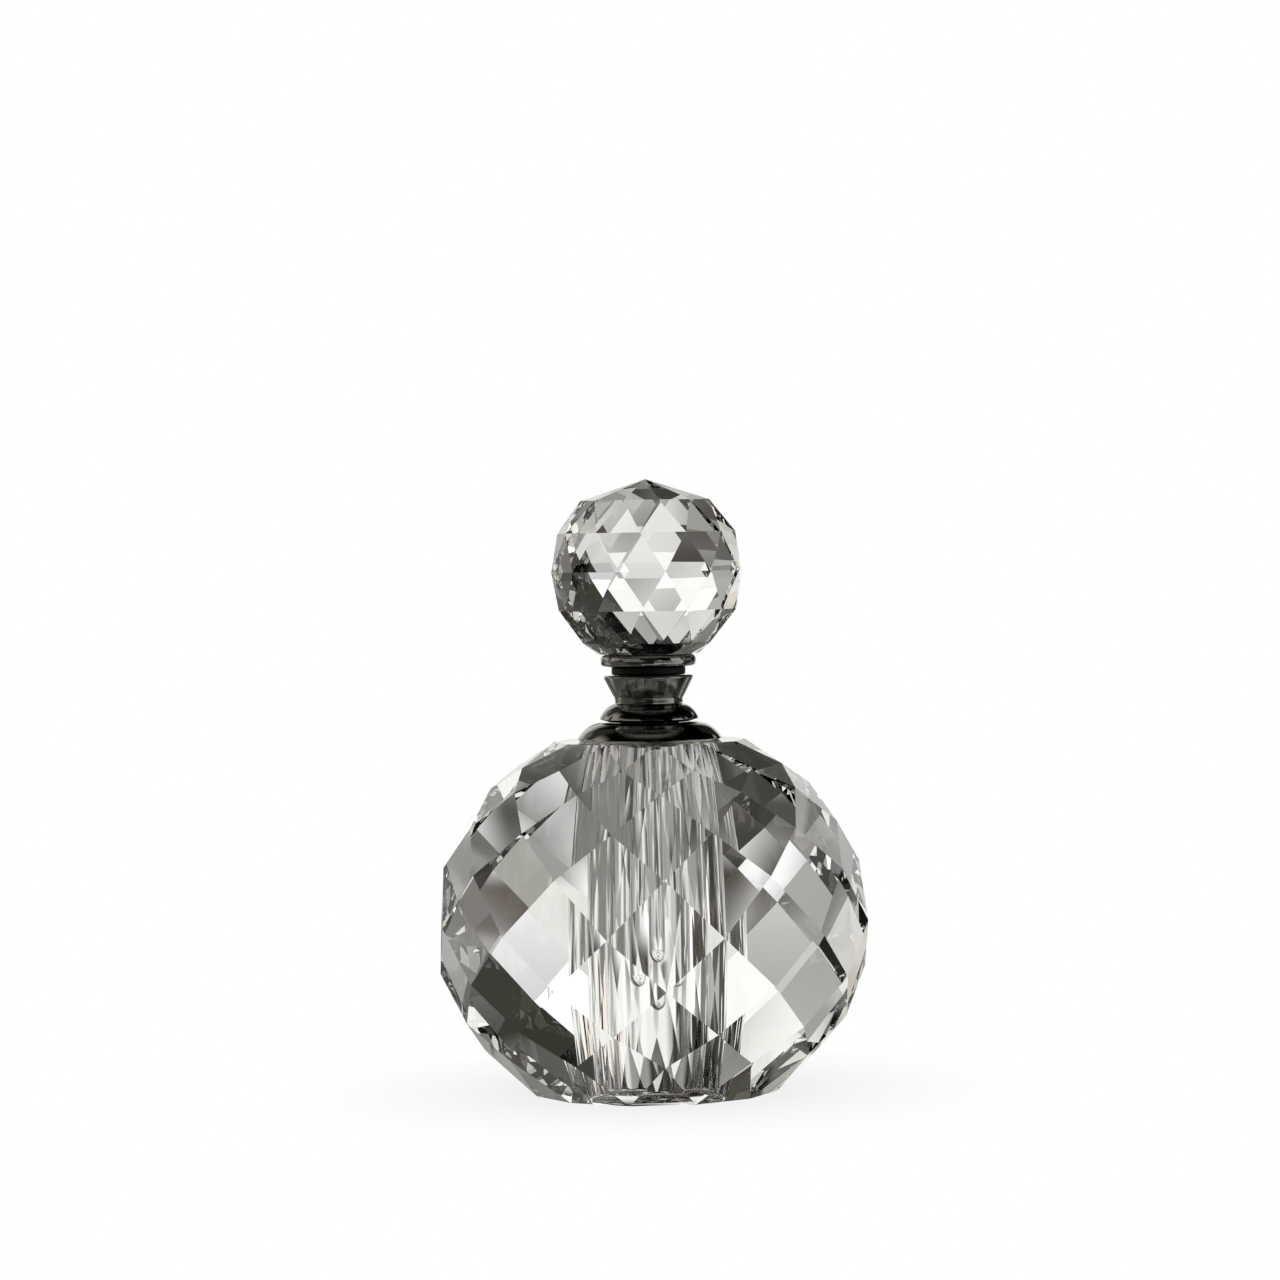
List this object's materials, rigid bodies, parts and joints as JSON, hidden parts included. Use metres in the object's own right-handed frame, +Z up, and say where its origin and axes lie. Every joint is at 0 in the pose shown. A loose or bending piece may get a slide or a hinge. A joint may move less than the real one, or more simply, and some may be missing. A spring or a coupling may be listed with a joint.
{
  "type": "perfume bottle",
  "caption": "Round cut-crystal perfume bottle with a turned dark metal neck and a lift-out faceted ball stopper that carries a glass dabber rod.",
  "frame": {"origin": "centre of the flat base, on the bottle's axis, at the level of the surface it stands on", "axes": "+Z up along the bottle's axis through the neck, the rod and the ball; -Y is the front, where one column of large facets faces; +X to the right seen from the front"},
  "size_m": [0.068, 0.068, 0.0975],
  "materials": {
    "body_crystal": "clear cut crystal with polished flat facets",
    "ball_crystal": "clear cut crystal with polished flat facets",
    "rod_glass": "clear fire-polished glass rod",
    "neck_metal": "polished dark chrome",
    "stopper_metal": "polished dark chrome",
    "inner_metal": "turned, plated, unpolished",
    "liner_plastic": "natural polyethylene, slightly milky",
    "seal_rubber": "black moulded ring",
    "adhesive": "thin film of clear cured adhesive"
  },
  "bodies": {
    "bottle": {"crystal_body": "body_crystal", "collar_bond": "adhesive", "neck_collar": "neck_metal", "neck_bead": "neck_metal", "neck_mouth": "neck_metal", "neck_tube": "inner_metal", "mouth_liner": "liner_plastic"},
    "seal": {"seal_ring": "seal_rubber"},
    "stopper": {"stopper_cup": "stopper_metal", "stopper_stem": "inner_metal", "stopper_sleeve": "liner_plastic", "stopper_ball": "ball_crystal", "ball_bond": "adhesive", "rod_bond": "adhesive", "dabber_rod": "rod_glass"}
  },
  "joints": [
    {"name": "stopper_lift", "type": "slide", "parent": "bottle", "child": "seal", "axis": [0, 0, 1], "range_m": [0, 0.06]},
    {"name": "stopper_turn", "type": "hinge", "parent": "seal", "child": "stopper", "pos_m": [0, 0, 0.0663], "axis": [0, 0, 1], "continuous": true}
  ]
}
